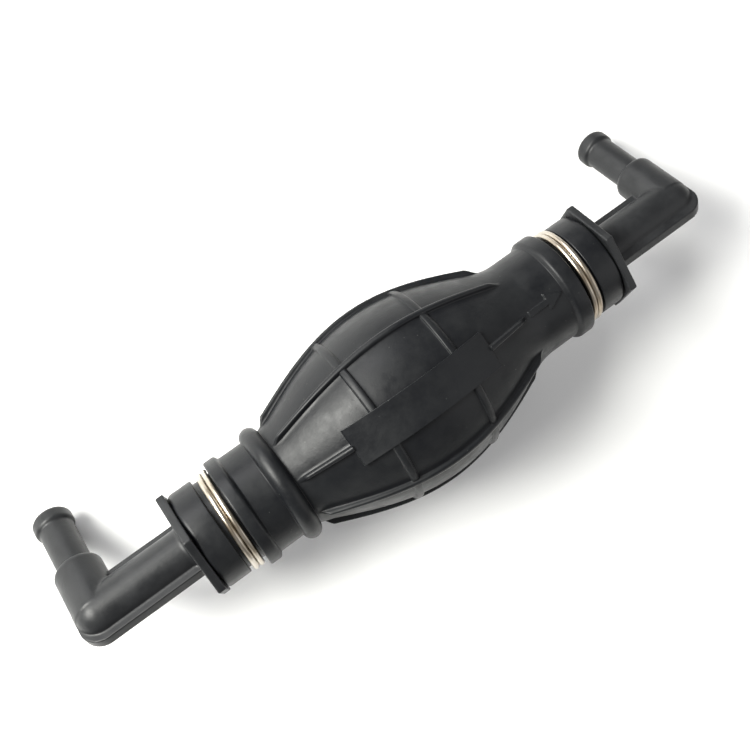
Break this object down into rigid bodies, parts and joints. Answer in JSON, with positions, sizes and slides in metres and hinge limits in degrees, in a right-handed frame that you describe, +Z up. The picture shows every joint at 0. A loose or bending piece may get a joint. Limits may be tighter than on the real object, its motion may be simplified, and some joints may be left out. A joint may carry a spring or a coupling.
{
  "type": "siphon bulb pump",
  "caption": "Hand-squeezed rubber siphon bulb with ribs, an elbowed hose nipple and a spring-loaded one-way valve at each end, and wire clamps.",
  "frame": {"origin": "on the table under the middle of the pump as it lies at rest, on the bulb's underside and both nipple tips", "axes": "+X along the pump's main axis in the direction of flow, from inlet to outlet; +Z up; the hose nipples point towards +Y and down"},
  "size_m": [0.2144, 0.0584, 0.0561],
  "materials": {
    "bulb_rubber": "satin moulded nitrile rubber",
    "fitting_plastic": "satin moulded nylon",
    "clamp_steel": "bright drawn steel wire",
    "valve_acetal": "natural acetal",
    "seal_rubber": "matt nitrile rubber",
    "spring_steel": "stainless spring wire"
  },
  "bodies": {
    "bulb_body": {"bulb": "bulb_rubber", "inlet_clamp": "clamp_steel", "outlet_clamp": "clamp_steel"},
    "squeeze_pad": {"grip_pad": "bulb_rubber"},
    "inlet_fitting": {"inlet_elbow": "fitting_plastic", "inlet_cover": "fitting_plastic", "inlet_valve_seat": "valve_acetal", "inlet_seat_oring": "seal_rubber", "inlet_valve_cage": "valve_acetal", "inlet_valve_spring": "spring_steel"},
    "inlet_valve": {"inlet_poppet": "valve_acetal", "inlet_poppet_seal": "seal_rubber"},
    "outlet_fitting": {"outlet_elbow": "fitting_plastic", "outlet_cover": "fitting_plastic", "outlet_valve_seat": "valve_acetal", "outlet_seat_oring": "seal_rubber", "outlet_valve_cage": "valve_acetal", "outlet_valve_spring": "spring_steel"},
    "outlet_valve": {"outlet_poppet": "valve_acetal", "outlet_poppet_seal": "seal_rubber"}
  },
  "joints": [
    {"name": "inlet_swivel", "type": "hinge", "parent": "bulb_body", "child": "inlet_fitting", "pos_m": [0, -0.00087, 0.02832], "axis": [1, 0, 0], "range_deg": [-180, 180]},
    {"name": "inlet_valve_lift", "type": "slide", "parent": "inlet_fitting", "child": "inlet_valve", "axis": [1, 0, 0], "range_m": [0, 0.0025], "stiffness_N_per_m": 80, "springref_m": -0.003, "deforming": ["inlet_valve_spring"]},
    {"name": "outlet_swivel", "type": "hinge", "parent": "bulb_body", "child": "outlet_fitting", "pos_m": [0, -0.00087, 0.02832], "axis": [1, 0, 0], "range_deg": [-180, 180]},
    {"name": "outlet_valve_lift", "type": "slide", "parent": "outlet_fitting", "child": "outlet_valve", "axis": [1, 0, 0], "range_m": [0, 0.0025], "stiffness_N_per_m": 80, "springref_m": -0.003, "deforming": ["outlet_valve_spring"]},
    {"name": "bulb_squeeze", "type": "slide", "parent": "bulb_body", "child": "squeeze_pad", "axis": [0, 0.041, -0.9992], "range_m": [0, 0.007], "stiffness_N_per_m": 2500, "deforming": ["bulb"]}
  ]
}
